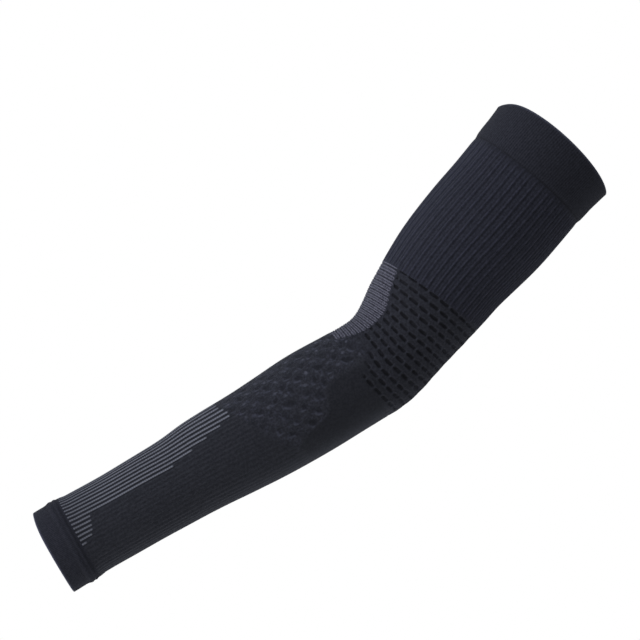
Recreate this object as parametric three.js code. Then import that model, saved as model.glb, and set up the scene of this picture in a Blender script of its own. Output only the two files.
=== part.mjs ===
// A knitted arm warmer, filled out as it is on an arm: a thin tube from the wrist to the top of the
// upper arm, bent a little at the elbow. Lengths are in millimetres and angles in degrees.
//
// The origin is the elbow point, on the middle line of the arm. +X runs along the forearm away from
// the hand, +Z points to the crook of the elbow, and -Y is the side that faces out when it is worn.
//
// Every piece lies on one surface, which is worked out from the sections below. A place on it has a
// distance along the middle line, from the wrist edge, and an angle round the arm, from the crook.

import * as THREE from "three";

// Lengths along the middle line of the arm
const wristToElbow = 275;
const elbowToTop = 196;
const wristCuffLength = 22.5;
const upperCuffLength = 36.5;

// The arm's section at three places: width from the crook to the back, depth from side to side
const wristWidth = 61.5;
const wristDepth = 49;
const elbowWidth = 70.2;
const elbowDepth = 63;
const topWidth = 97;
const topDepth = 89;

// How far the upper arm turns from the forearm's line at the elbow
const elbowBend = 25;

// A bulge of the oval section, towards the crook or towards the back
const outlineBulge = 1;

// The open mesh band round the elbow, and the flexing panel let into it at the crook
const meshBelowElbow = 16.5;
const meshAboveElbow = 52;
const panelBelowElbow = 26;
const panelHalfAngle = 57;
const panelStepAngle = 35;

// Cloth: the single knit, its ribs, and the folded cuffs
const knitWall = 1.6;
const ribHeight = 0.5;
const forearmRibs = 56;
const upperArmRibs = 45;
const cuffWall = 2.0;
const cuffProud = 0.6;
const cuffFoldRound = 0.8;
const wristSeamBand = 4.4;
const wristBandProud = 1.1;
const topSeamBand = 1.6;
const topBandProud = 0.8;
const seamGrooveDepth = 0.8;

// How far the cuffs' free edges are drawn in at the crook and at the back of the arm, and how
// narrow each of those dips is: the power of the crook's nearness that it follows
const wristEdgeDrawCrook = 2.5;
const topEdgeDrawCrook = 7.5;
const topEdgeDrawCorner = 5.5;
const topEdgeDrawBack = 4;
const wristDipPower = 8;
const topCrookDipPower = 4;
const topCornerDipPower = 20;
const topBackDipPower = 7;

// Clearance between two pieces that meet edge to edge
const pieceGap = 0.3;

// Sections of the forearm. along is a share of wristToElbow, width and depth are shares of the way
// from the wrist's size to the elbow's, turn is a share of elbowBend and rib a share of ribHeight.
// crook and back say how far the oval bulges on those two sides, as shares of outlineBulge.
const forearmSections = [
  { along: 0.0, width: 0.0, depth: 0.0, turn: 0.0, rib: 1.0, crook: -0.6, back: 0.5 },
  { along: 0.075, width: -0.06, depth: -0.03, turn: -0.03, rib: 1.0, crook: 0.0, back: 0.15 },
  { along: 0.14, width: -0.27, depth: -0.05, turn: -0.06, rib: 1.0, crook: 0.9, back: 0.55 },
  { along: 0.225, width: -0.27, depth: 0.04, turn: 0.01, rib: 1.0, crook: 0.85, back: 0.57 },
  { along: 0.31, width: -0.15, depth: 0.19, turn: 0.01, rib: 1.0, crook: 0.7, back: 0.62 },
  { along: 0.396, width: 0.08, depth: 0.35, turn: 0.08, rib: 1.0, crook: 0.1, back: 0.9 },
  { along: 0.455, width: 0.43, depth: 0.59, turn: 0.07, rib: 1.0, crook: -0.2, back: 0.85 },
  { along: 0.51, width: 0.8, depth: 0.79, turn: 0.01, rib: 0.9, crook: -1.4, back: 0.65 },
  { along: 0.57, width: 1.04, depth: 0.92, turn: -0.05, rib: 0.75, crook: -2.0, back: 0.55 },
  { along: 0.68, width: 1.16, depth: 1.04, turn: -0.01, rib: 0.5, crook: -0.5, back: 0.9 },
  { along: 0.764, width: 1.22, depth: 1.07, turn: 0.0, rib: 0.35, crook: 0.8, back: 0.72 },
  { along: 0.876, width: 1.04, depth: 1.02, turn: 0.03, rib: 0.2, crook: 1.0, back: 0.78 },
  { along: 0.91, width: 1.02, depth: 1.01, turn: 0.08, rib: 0.2, crook: 0.65, back: 0.85 },
  { along: 0.955, width: 1.0, depth: 1.0, turn: 0.27, rib: 0.2, crook: 0.1, back: 1.5 },
];

// Sections of the upper arm. along is a share of elbowToTop, width and depth are shares of the way
// from the elbow's size to the top's, and the other columns are as above.
const upperArmSections = [
  { along: 0.0, width: 0.0, depth: 0.0, turn: 0.6, rib: 0.2, crook: -0.55, back: 1.3 },
  { along: 0.028, width: 0.0, depth: 0.0, turn: 0.74, rib: 0.2, crook: -0.55, back: 1.2 },
  { along: 0.066, width: 0.03, depth: 0.03, turn: 0.87, rib: 0.2, crook: -0.35, back: 1.13 },
  { along: 0.113, width: 0.12, depth: 0.12, turn: 0.96, rib: 0.2, crook: -0.1, back: 1.0 },
  { along: 0.17, width: 0.3, depth: 0.31, turn: 1.0, rib: 0.4, crook: -0.4, back: 0.4 },
  { along: 0.226, width: 0.41, depth: 0.44, turn: 0.98, rib: 1.0, crook: -0.55, back: 0.45 },
  { along: 0.311, width: 0.53, depth: 0.56, turn: 0.91, rib: 1.0, crook: 0.0, back: 0.75 },
  { along: 0.387, width: 0.59, depth: 0.62, turn: 0.82, rib: 1.0, crook: 1.05, back: 0.78 },
  { along: 0.472, width: 0.7, depth: 0.72, turn: 0.73, rib: 1.0, crook: 1.05, back: 0.7 },
  { along: 0.585, width: 0.82, depth: 0.84, turn: 0.72, rib: 1.0, crook: 0.65, back: 0.7 },
  { along: 0.727, width: 0.84, depth: 0.86, turn: 0.81, rib: 1.0, crook: 0.4, back: 0.9 },
  { along: 0.811, width: 0.88, depth: 0.9, turn: 0.79, rib: 1.0, crook: 0.1, back: 0.5 },
  { along: 0.887, width: 0.94, depth: 0.95, turn: 0.72, rib: 1.0, crook: -0.1, back: 0.0 },
  { along: 0.944, width: 0.98, depth: 0.98, turn: 0.66, rib: 1.0, crook: 0.2, back: 0.0 },
  { along: 1.0, width: 1.0, depth: 1.0, turn: 0.62, rib: 1.0, crook: 0.2, back: 0.0 },
];

// The panel's side edges. along is a share of the panel's length from its wrist end, and half is the
// edge's angle from the crook as a share of panelHalfAngle.
const panelEdges = [
  { along: 0.0, half: 0.61 },
  { along: 0.2, half: 0.78 },
  { along: 0.45, half: 0.94 },
  { along: 0.63, half: 1.0 },
  { along: 0.8, half: 0.89 },
  { along: 1.0, half: 0.77 },
];

// A cuff's outside beside its seam: a raised band, a groove and the start of the plain cuff. along is
// a share of the seam band's length from the seam, band a share of how far the band stands proud, cuff
// a share of cuffProud, and groove a share of seamGrooveDepth.
const seamOutline = [
  { along: 0.0, band: 0.3, cuff: 0.0, groove: 0.0 },
  { along: 0.25, band: 1.0, cuff: 0.0, groove: 0.0 },
  { along: 0.75, band: 1.0, cuff: 0.0, groove: 0.0 },
  { along: 1.0, band: 0.0, cuff: 1.0, groove: 1.0 },
  { along: 1.25, band: 0.0, cuff: 1.0, groove: 0.0 },
];

// Fineness of the surfaces: facets of one rib, and facets round or across the plain pieces
const facetsPerRib = 2;
const cuffFacets = 36;
const panelFacets = 12;
const elbowFacets = 48;
const axisStep = 1;

// Where the rows of corners lie along each piece, as shares of its length
const forearmRows = [0, 0.08, 0.2, 0.35, 0.42, 0.5, 0.575, 0.71, 0.86, 1];
const upperArmRows = [0, 0.14, 0.28, 0.42, 0.6, 0.8, 1];
const elbowRows = [0, 0.1, 0.2, 0.3, 0.4, 0.5, 0.6, 0.7, 0.8, 0.9, 1];

const fullTurn = 2 * Math.PI;
const radians = THREE.MathUtils.degToRad;
const lerp = THREE.MathUtils.lerp;
const clamp = THREE.MathUtils.clamp;

// Places along the middle line where pieces meet
const wholeLength = wristToElbow + elbowToTop;
const upperCuffStart = wholeLength - upperCuffLength;
const meshStart = wristToElbow - meshBelowElbow;
const meshEnd = wristToElbow + meshAboveElbow;
const panelStart = wristToElbow - panelBelowElbow;

// Both tables as one list of sections with real sizes
const sections = [
  ...forearmSections.map((row) => ({
    at: row.along * wristToElbow,
    width: lerp(wristWidth, elbowWidth, row.width),
    depth: lerp(wristDepth, elbowDepth, row.depth),
    turn: row.turn * radians(elbowBend),
    rib: row.rib * ribHeight,
    crook: row.crook * outlineBulge,
    back: row.back * outlineBulge,
  })),
  ...upperArmSections.map((row) => ({
    at: wristToElbow + row.along * elbowToTop,
    width: lerp(elbowWidth, topWidth, row.width),
    depth: lerp(elbowDepth, topDepth, row.depth),
    turn: row.turn * radians(elbowBend),
    rib: row.rib * ribHeight,
    crook: row.crook * outlineBulge,
    back: row.back * outlineBulge,
  })),
];

// A smooth curve through one column of a table: a cubic in each interval, whose slope at a row is
// the mean of the slopes on its two sides, weighted by the other side's length.
function smoothColumn(rows, place, column) {
  const step = (i) => rows[i + 1][place] - rows[i][place];
  const slope = (i) => (rows[i + 1][column] - rows[i][column]) / step(i);
  const last = rows.length - 1;
  const tangents = rows.map((row, i) => {
    if (i === 0) return slope(0);
    if (i === last) return slope(last - 1);
    return (step(i) * slope(i - 1) + step(i - 1) * slope(i)) / (step(i) + step(i - 1));
  });
  return (x) => {
    let i = 0;
    while (i < last - 1 && x > rows[i + 1][place]) i += 1;
    const t = clamp((x - rows[i][place]) / step(i), 0, 1);
    const rise = t * t * (3 - 2 * t);
    const start = t * (1 - t) * (1 - t) * step(i) * tangents[i];
    const end = t * t * (t - 1) * step(i) * tangents[i + 1];
    return lerp(rows[i][column], rows[i + 1][column], rise) + start + end;
  };
}

const widthAt = smoothColumn(sections, "at", "width");
const depthAt = smoothColumn(sections, "at", "depth");
const turnAt = smoothColumn(sections, "at", "turn");
const ribAt = smoothColumn(sections, "at", "rib");
const crookBulgeAt = smoothColumn(sections, "at", "crook");
const backBulgeAt = smoothColumn(sections, "at", "back");
const panelHalfAt = smoothColumn(panelEdges, "along", "half");

// The middle line, walked in short steps outwards from the elbow point, where it is at the origin
function axisPoint(at) {
  const distance = at - wristToElbow;
  const steps = Math.max(1, Math.ceil(Math.abs(distance) / axisStep));
  const length = distance / steps;
  const point = new THREE.Vector3();
  for (let i = 0; i < steps; i += 1) {
    const turn = turnAt(wristToElbow + (i + 0.5) * length);
    point.x += length * Math.cos(turn);
    point.z += length * Math.sin(turn);
  }
  return point;
}

const axisPoints = new Map();

function rememberedAxisPoint(at) {
  if (!axisPoints.has(at)) axisPoints.set(at, axisPoint(at));
  return axisPoints.get(at);
}

// A point of the arm's surface, moved out of it by proud. The section is an oval across the middle
// line, with a bulge at the crook and at the back that fades out to the sides. share goes from 0 to 1
// round it, from the crook over the -Y side, in nearly even lengths.
function surfacePoint(at, share, proud) {
  const halfWidth = widthAt(at) / 2;
  const halfDepth = depthAt(at) / 2;
  const flatness = (1 - (halfDepth / halfWidth) ** 2) / 4;
  const even = share * fullTurn;
  const angle = even + (flatness / (2 - 2 * flatness)) * Math.sin(2 * even);
  const cosine = Math.cos(angle);
  const bulge = cosine > 0 ? crookBulgeAt(at) : backBulgeAt(at);
  const toCrook = (halfWidth + proud + bulge * Math.abs(cosine)) * cosine;
  const toSide = (halfDepth + proud) * Math.sin(angle);
  const turn = turnAt(at);
  const middle = rememberedAxisPoint(at);
  return new THREE.Vector3(
    middle.x - Math.sin(turn) * toCrook,
    -toSide,
    middle.z + Math.cos(turn) * toCrook,
  );
}

// Shares of the way round, for an angle from the crook
const shareOf = (degrees) => degrees / 360;

// 1 at the crook and 0 at the back of the arm, for a share of the way round
const crookness = (share) => (1 + Math.cos(share * fullTurn)) / 2;

// The mesh band's wrist edge: a ring, with a smooth step down to the panel's wrist end
function meshStartAt(share) {
  const degrees = Math.min(share, 1 - share) * 360;
  const corner = panelHalfAngle * panelEdges[0].half;
  const past = THREE.MathUtils.smoothstep(degrees, corner, corner + panelStepAngle);
  return lerp(panelStart, meshStart, past);
}

// The cuffs' free edges, drawn in at the crook and at the back of the arm
const wristEdgeAt = (share) => wristEdgeDrawCrook * crookness(share) ** wristDipPower;

function topEdgeAt(share) {
  const crookDip = topEdgeDrawCrook * crookness(share) ** topCrookDipPower;
  const cornerDip = topEdgeDrawCorner * crookness(share) ** topCornerDipPower;
  const backDip = topEdgeDrawBack * (1 - crookness(share)) ** topBackDipPower;
  return wholeLength - crookDip - cornerDip - backDip;
}

// Collects the corners and triangles of one closed body
class Body {
  constructor() {
    this.corners = [];
    this.triangles = [];
  }

  add(point) {
    this.corners.push(point.x, point.y, point.z);
    return this.corners.length / 3 - 1;
  }

  // A row of corners, one for each share
  row(shares, place) {
    return shares.map((share) => this.add(place(share)));
  }

  // The faces between two rows that have as many corners and run the same way round. The first row
  // lies nearer the wrist on an outer face.
  band(near, far, closed) {
    const count = closed ? near.length : near.length - 1;
    for (let i = 0; i < count; i += 1) {
      const next = (i + 1) % near.length;
      this.triangles.push(near[i], near[next], far[i]);
      this.triangles.push(near[next], far[next], far[i]);
    }
  }

  mesh(name, colour, roughness) {
    const geometry = new THREE.BufferGeometry();
    geometry.setAttribute("position", new THREE.Float32BufferAttribute(this.corners, 3));
    geometry.setIndex(this.triangles);
    geometry.computeVertexNormals();
    const material = new THREE.MeshStandardMaterial({ color: colour, roughness, metalness: 0 });
    const mesh = new THREE.Mesh(geometry, material);
    mesh.name = name;
    return mesh;
  }
}

// Even shares of a whole turn, and of a stretch with two ends
const roundShares = (count) => Array.from({ length: count }, (unused, i) => i / count);
const acrossShares = (count) => Array.from({ length: count + 1 }, (unused, i) => i / count);

// A ribbed tube of single knit between two rings. The first corner of each rib is its crest, which
// lies on the arm's surface, and the others lie lower by the rib's height.
function ribbedTube(startAt, endAt, rows, ribs) {
  const body = new Body();
  const shares = roundShares(facetsPerRib * ribs);
  const along = (share, step) => {
    const start = startAt(share) + pieceGap / 2;
    const end = endAt(share) - pieceGap / 2;
    return lerp(start, end, step);
  };
  const outer = rows.map((step) =>
    shares.map((share, i) => {
      const at = along(share, step);
      const proud = i % facetsPerRib === 0 ? 0 : -ribAt(at);
      return body.add(surfacePoint(at, share, proud));
    }),
  );
  const inner = rows.map((step) =>
    body.row(shares, (share) => surfacePoint(along(share, step), share, -knitWall)),
  );
  for (let i = 0; i + 1 < rows.length; i += 1) {
    body.band(outer[i], outer[i + 1], true);
    body.band(inner[i + 1], inner[i], true);
  }
  body.band(inner[0], outer[0], true);
  body.band(outer.at(-1), inner.at(-1), true);
  return body;
}

// A folded cuff. Its wall's outline runs from the seam over the outside to the free edge, round the
// fold and back along the inside; lead is 1 where the wrist's end is free and -1 at the top.
function foldedCuff(seamAt, edgeAt, seamBand, bandProud, lead) {
  const body = new Body();
  const inside = cuffProud - cuffWall;
  const shares = roundShares(cuffFacets);
  const outline = (share) => {
    const seam = seamAt - (lead * pieceGap) / 2;
    const edge = edgeAt(share);
    const fold = edge + lead * cuffFoldRound;
    const middle = (seam + fold) / 2;
    return [
      ...seamOutline.map((row) => ({
        at: seam - lead * seamBand * row.along,
        proud: row.band * bandProud + row.cuff * cuffProud - row.groove * seamGrooveDepth,
      })),
      { at: middle, proud: cuffProud },
      { at: fold, proud: cuffProud },
      { at: edge, proud: cuffProud - cuffFoldRound },
      { at: edge, proud: inside + cuffFoldRound },
      { at: fold, proud: inside },
      { at: middle, proud: inside },
      { at: seam, proud: inside },
    ];
  };
  const count = outline(0).length;
  const rows = Array.from({ length: count }, (unused, i) =>
    body.row(shares, (share) => {
      const corner = outline(share)[i];
      return surfacePoint(corner.at, share, corner.proud);
    }),
  );
  for (let i = 0; i < count; i += 1) {
    const here = rows[i];
    const next = rows[(i + 1) % count];
    if (lead > 0) body.band(next, here, true);
    else body.band(here, next, true);
  }
  return body;
}

// A curved plate of single knit in the elbow's band, between two side edges that it is given as
// shares of the way round for each step along the band.
function elbowPlate(edgesAt, facets) {
  const body = new Body();
  const place = (step, across, proud) => {
    const [first, last] = edgesAt(step);
    const share = lerp(first, last, across);
    const wrapped = share - Math.floor(share);
    const start = meshStartAt(wrapped) + pieceGap / 2;
    const end = meshEnd - pieceGap / 2;
    return surfacePoint(lerp(start, end, step), share, proud);
  };
  const rowsOf = (proud) =>
    elbowRows.map((step) => body.row(acrossShares(facets), (across) => place(step, across, proud)));
  const outer = rowsOf(0);
  const inner = rowsOf(-knitWall);
  for (let i = 0; i + 1 < elbowRows.length; i += 1) {
    body.band(outer[i], outer[i + 1], false);
    body.band(inner[i + 1], inner[i], false);
    const first = [outer[i][0], inner[i][0], outer[i + 1][0], inner[i + 1][0]];
    const last = [outer[i].at(-1), inner[i].at(-1), outer[i + 1].at(-1), inner[i + 1].at(-1)];
    body.triangles.push(first[0], first[2], first[1], first[1], first[2], first[3]);
    body.triangles.push(last[0], last[1], last[2], last[1], last[3], last[2]);
  }
  body.band(inner[0], outer[0], false);
  body.band(outer.at(-1), inner.at(-1), false);
  return body;
}

// The gap beside the panel as a share of the way round, from the arm's girth at the elbow
const elbowGirth = (Math.PI * (elbowWidth + elbowDepth)) / 2;
const halfGapShare = pieceGap / 2 / elbowGirth;

const panelShareAt = (step) => shareOf(panelHalfAngle * panelHalfAt(step));
const panelSides = (step) => [-panelShareAt(step) + halfGapShare, panelShareAt(step) - halfGapShare];
const meshSides = (step) => [panelShareAt(step) + halfGapShare, 1 - panelShareAt(step) - halfGapShare];

const wristCuff = foldedCuff(wristCuffLength, wristEdgeAt, wristSeamBand, wristBandProud, 1);
const forearmSleeve = ribbedTube(() => wristCuffLength, meshStartAt, forearmRows, forearmRibs);
const elbowSleeve = elbowPlate(meshSides, elbowFacets);
const crookInsert = elbowPlate(panelSides, panelFacets);
const upperArmSleeve = ribbedTube(() => meshEnd, () => upperCuffStart, upperArmRows, upperArmRibs);
const upperCuff = foldedCuff(upperCuffStart, topEdgeAt, topSeamBand, topBandProud, -1);

const armWarmer = new THREE.Group();
armWarmer.name = "arm_warmer";
armWarmer.add(
  wristCuff.mesh("wrist_cuff", 0x22252c, 0.92),
  forearmSleeve.mesh("forearm_sleeve", 0x24252b, 0.9),
  elbowSleeve.mesh("elbow_sleeve", 0x212227, 0.9),
  crookInsert.mesh("crook_insert", 0x454851, 0.85),
  upperArmSleeve.mesh("upper_arm_sleeve", 0x26272f, 0.9),
  upperCuff.mesh("upper_cuff", 0x222329, 0.92),
);

export default armWarmer;
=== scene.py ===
# %% [markdown]
# # A knitted arm warmer
#
# An arm warmer is one thin tube of elastic knit, worked on a round machine without a single seam. The
# machine changes the stitch from zone to zone: fine ribs with grey stripes on the forearm, a honeycomb
# near the elbow, an open mesh round it, a grey panel of cross ridges in the crook, wide ribs on the
# upper arm, and a folded cuff at each end.
#
# This lesson builds each zone as its own piece on one common surface. We start with the imported CAD model.
# Its nodes stand for the pieces, which are built on the same sections as the solids, so the visual model
# can't drift away from them.

# %% Load the CAD model
import math

import bpy
import numpy as np
from mathutils import Matrix, Vector


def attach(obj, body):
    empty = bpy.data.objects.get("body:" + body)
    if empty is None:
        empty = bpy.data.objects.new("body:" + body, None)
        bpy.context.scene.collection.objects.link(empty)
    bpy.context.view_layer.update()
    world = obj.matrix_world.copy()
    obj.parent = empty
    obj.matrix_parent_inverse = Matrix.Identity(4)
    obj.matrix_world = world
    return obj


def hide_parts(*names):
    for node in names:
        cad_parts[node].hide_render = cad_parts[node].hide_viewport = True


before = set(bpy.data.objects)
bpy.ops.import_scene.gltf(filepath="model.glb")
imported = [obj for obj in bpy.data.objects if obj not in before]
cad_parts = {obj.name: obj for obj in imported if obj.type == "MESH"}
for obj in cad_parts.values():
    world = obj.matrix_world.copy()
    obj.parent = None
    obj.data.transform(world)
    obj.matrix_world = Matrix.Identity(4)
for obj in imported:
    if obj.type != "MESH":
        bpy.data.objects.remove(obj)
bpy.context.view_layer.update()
print("CAD nodes:", sorted(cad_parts))

# %% [markdown]
# ## The surface that every piece lies on
#
# A sleeve that is filled out has a section at each place along the arm. The table below is the one that
# the CAD solids use. Between two rows a smooth curve fills in, so there are no kinks.

# %% The arm's sections
MM = 0.001
WRIST_TO_ELBOW = 275.0
ELBOW_TO_TOP = 196.0
WHOLE_LENGTH = WRIST_TO_ELBOW + ELBOW_TO_TOP
WRIST_WIDTH, WRIST_DEPTH = 61.5, 49.0
ELBOW_WIDTH, ELBOW_DEPTH = 70.2, 63.0
TOP_WIDTH, TOP_DEPTH = 97.0, 89.0
ELBOW_BEND = 25.0

# Columns: share of the length, share of the change in width, share of the change in depth, share of
# the elbow's bend, share of the ribs' height, and millimetres of bulge at the crook and at the back
FOREARM = np.array([
    [0, 0, 0, 0, 1, -0.6, 0.5],
    [0.075, -0.06, -0.03, -0.03, 1, 0, 0.15],
    [0.14, -0.27, -0.05, -0.06, 1, 0.9, 0.55],
    [0.225, -0.27, 0.04, 0.01, 1, 0.85, 0.57],
    [0.31, -0.15, 0.19, 0.01, 1, 0.7, 0.62],
    [0.396, 0.08, 0.35, 0.08, 1, 0.1, 0.9],
    [0.455, 0.43, 0.59, 0.07, 1, -0.2, 0.85],
    [0.51, 0.8, 0.79, 0.01, 0.9, -1.4, 0.65],
    [0.57, 1.04, 0.92, -0.05, 0.75, -2, 0.55],
    [0.68, 1.16, 1.04, -0.01, 0.5, -0.5, 0.9],
    [0.764, 1.22, 1.07, 0, 0.35, 0.8, 0.72],
    [0.876, 1.04, 1.02, 0.03, 0.2, 1, 0.78],
    [0.91, 1.02, 1.01, 0.08, 0.2, 0.65, 0.85],
    [0.955, 1, 1, 0.27, 0.2, 0.1, 1.5],
])
UPPER_ARM = np.array([
    [0, 0, 0, 0.6, 0.2, -0.55, 1.3],
    [0.028, 0, 0, 0.74, 0.2, -0.55, 1.2],
    [0.066, 0.03, 0.03, 0.87, 0.2, -0.35, 1.13],
    [0.113, 0.12, 0.12, 0.96, 0.2, -0.1, 1],
    [0.17, 0.3, 0.31, 1, 0.4, -0.4, 0.4],
    [0.226, 0.41, 0.44, 0.98, 1, -0.55, 0.45],
    [0.311, 0.53, 0.56, 0.91, 1, 0, 0.75],
    [0.387, 0.59, 0.62, 0.82, 1, 1.05, 0.78],
    [0.472, 0.7, 0.72, 0.73, 1, 1.05, 0.7],
    [0.585, 0.82, 0.84, 0.72, 1, 0.65, 0.7],
    [0.727, 0.84, 0.86, 0.81, 1, 0.4, 0.9],
    [0.811, 0.88, 0.9, 0.79, 1, 0.1, 0.5],
    [0.887, 0.94, 0.95, 0.72, 1, -0.1, 0],
    [0.944, 0.98, 0.98, 0.66, 1, 0.2, 0],
    [1, 1, 1, 0.62, 1, 0.2, 0],
])


def smooth_curve(places, values):
    """A curve through points: a cubic in each interval, whose slope at a point is the mean of the
    slopes on its two sides, weighted by the other side's length."""
    places, values = np.asarray(places, float), np.asarray(values, float)
    steps = np.diff(places)
    slopes = np.diff(values) / steps
    inner = (steps[1:] * slopes[:-1] + steps[:-1] * slopes[1:]) / (steps[1:] + steps[:-1])
    tangents = np.concatenate([slopes[:1], inner, slopes[-1:]])

    def curve(x):
        x = np.clip(x, places[0], places[-1])
        i = np.clip(np.searchsorted(places, x, side="right") - 1, 0, len(steps) - 1)
        t = (x - places[i]) / steps[i]
        rise = t * t * (3 - 2 * t)
        bulge = t * (1 - t) * ((1 - t) * tangents[i] - t * tangents[i + 1]) * steps[i]
        return values[i] + (values[i + 1] - values[i]) * rise + bulge

    return curve


def section_curve(column, forearm, upper_arm):
    """The curve of one column of both tables. forearm and upper_arm are the values that the shares 0
    and 1 stand for in each table."""
    places = np.concatenate([FOREARM[:, 0] * WRIST_TO_ELBOW, WRIST_TO_ELBOW + UPPER_ARM[:, 0] * ELBOW_TO_TOP])
    return smooth_curve(places, np.concatenate([
        low + (high - low) * table[:, column]
        for table, (low, high) in ((FOREARM, forearm), (UPPER_ARM, upper_arm))
    ]))


width_at = section_curve(1, (WRIST_WIDTH, ELBOW_WIDTH), (ELBOW_WIDTH, TOP_WIDTH))
depth_at = section_curve(2, (WRIST_DEPTH, ELBOW_DEPTH), (ELBOW_DEPTH, TOP_DEPTH))
turn_at = section_curve(3, (0, np.radians(ELBOW_BEND)), (0, np.radians(ELBOW_BEND)))
rib_share_at, crook_bulge_at, back_bulge_at = (section_curve(column, (0, 1), (0, 1)) for column in (4, 5, 6))
print("width at the wrist, elbow and top:", width_at(np.array([0.0, WRIST_TO_ELBOW, WHOLE_LENGTH])))

# %% [markdown]
# ## From a distance and an angle to a point in space
#
# The middle line of the arm bends at the elbow. Adding up many short steps in its direction gives the
# line itself. A place on the sleeve is then a distance along the line and an angle round it: 0 degrees
# at the crook of the elbow, 90 degrees on the side that faces out, 180 at the back.

# %% The middle line and the surface
LINE_STEP, LINE_SPARE = 0.25, 12.0
line_places = np.arange(-LINE_SPARE, WHOLE_LENGTH + LINE_SPARE, LINE_STEP)
line_turns = turn_at(line_places[:-1] + LINE_STEP / 2)
line_x, line_z = (
    np.concatenate([[0.0], np.cumsum(part * LINE_STEP)]) for part in (np.cos(line_turns), np.sin(line_turns))
)
line_x -= np.interp(WRIST_TO_ELBOW, line_places, line_x)
line_z -= np.interp(WRIST_TO_ELBOW, line_places, line_z)


def on_sleeve(along, angle, proud):
    """A point of the sleeve in metres, from millimetres and degrees: the middle line's point, plus half
    the width times the angle's cosine towards the crook, plus half the depth times its sine towards
    the side that faces out. The oval bulges by the cosine's square, and proud is a height above it."""
    along, angle, proud = np.broadcast_arrays(along, np.radians(angle), proud)
    cosine = np.cos(angle)
    bulge = np.where(cosine > 0, crook_bulge_at(along), back_bulge_at(along)) * np.abs(cosine)
    to_crook = (width_at(along) / 2 + bulge + proud) * cosine
    to_side = (depth_at(along) / 2 + proud) * np.sin(angle)
    turn = turn_at(along)
    x = np.interp(along, line_places, line_x) - np.sin(turn) * to_crook
    z = np.interp(along, line_places, line_z) + np.cos(turn) * to_crook
    return np.stack([x, -to_side, z], -1) * MM


def angle_of(along, share):
    """The angle at a share of the way round. For even lengths on an oval it runs ahead of the even one
    by a sine of twice it, times how flat the oval is."""
    flatness = (1 - (depth_at(along) / width_at(along)) ** 2) / 4
    even = 2 * np.pi * share
    return np.degrees(even + flatness / (2 - 2 * flatness) * np.sin(2 * even))


def share_of(along, angle):
    """The share of the way round at an angle: the even angle is found by putting each guess back."""
    share = angle / 360
    for _ in range(4):
        share = share + (angle - angle_of(along, share)) / 360
    return share


def from_crook(angle):
    """The angle from the crook on either side, 0 to 180 degrees. Both sides of the sleeve are alike."""
    angle = np.mod(angle, 360.0)
    return np.minimum(angle, 360.0 - angle)


def ramp(x, low, high):
    """0 below low and 1 above high, with a smooth rise between them."""
    t = np.clip((x - low) / (high - low), 0.0, 1.0)
    return t * t * (3 - 2 * t)


def wave(x):
    """1 at each whole number and 0 half way between two: half of one more than a cosine."""
    return 0.5 + 0.5 * np.cos(2 * np.pi * x)


print("elbow point of the middle line:", np.interp(WRIST_TO_ELBOW, line_places, line_x))

# %% [markdown]
# ## Walls of cloth from grids
#
# Each piece is a wall with an outside, an inside and thin edges. The inside of a sleeve needs far fewer
# faces than the outside with its ribs. So we make two grids, the inside with one step for every four of
# the outside, and join their edges with strips. The faces carry two UV maps: Cloth, in millimetres of
# cloth, for the stitches, and OFBake, which lays the whole wall out without overlaps.

# %% Helpers that put a wall into a mesh
COARSE = 4
STRIPS_LOW, STRIP_PITCH, STRIP_HEIGHT = 0.25, 0.01, 0.0048
OUTSIDE_LOW, INSIDE_HIGH = 0.29, 0.24
GIRTH = 200.0
SHARP_ANGLE = 50


def faces_of(ids, flip):
    """The four corners of every face of a grid of corner numbers."""
    corners = np.stack([ids[:-1, :-1], ids[:-1, 1:], ids[1:, 1:], ids[1:, :-1]], -1).reshape(-1, 4)
    return corners[:, ::-1] if flip else corners


def strip_between(fine, coarse, low, flip):
    """The faces between a fine edge and a coarse one, and their places in the baking map, in a strip
    above low. Each face has five corners on the fine edge and two on the coarse one."""
    count = len(coarse) - 1
    number = np.arange(count)[:, None]
    steps = COARSE * number + np.arange(COARSE + 1)
    corners = np.hstack([fine[steps], coarse[number + 1], coarse[number]])
    across = np.hstack([steps / COARSE, number + 1, number]) / count
    up = np.where(np.arange(COARSE + 3) <= COARSE, low + STRIP_HEIGHT, low)
    places = np.stack([across, np.broadcast_to(up, across.shape)], -1)
    return (corners[:, ::-1], places[:, ::-1]) if flip else (corners, places)


def grid_places(rows, columns, low, high):
    """Places in the baking map for a grid: columns run from 0 to 1, and rows from low to high."""
    up, across = np.meshgrid(np.linspace(low, high, rows), np.linspace(0, 1, columns), indexing="ij")
    return np.stack([across, up], -1).reshape(-1, 2)


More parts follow.
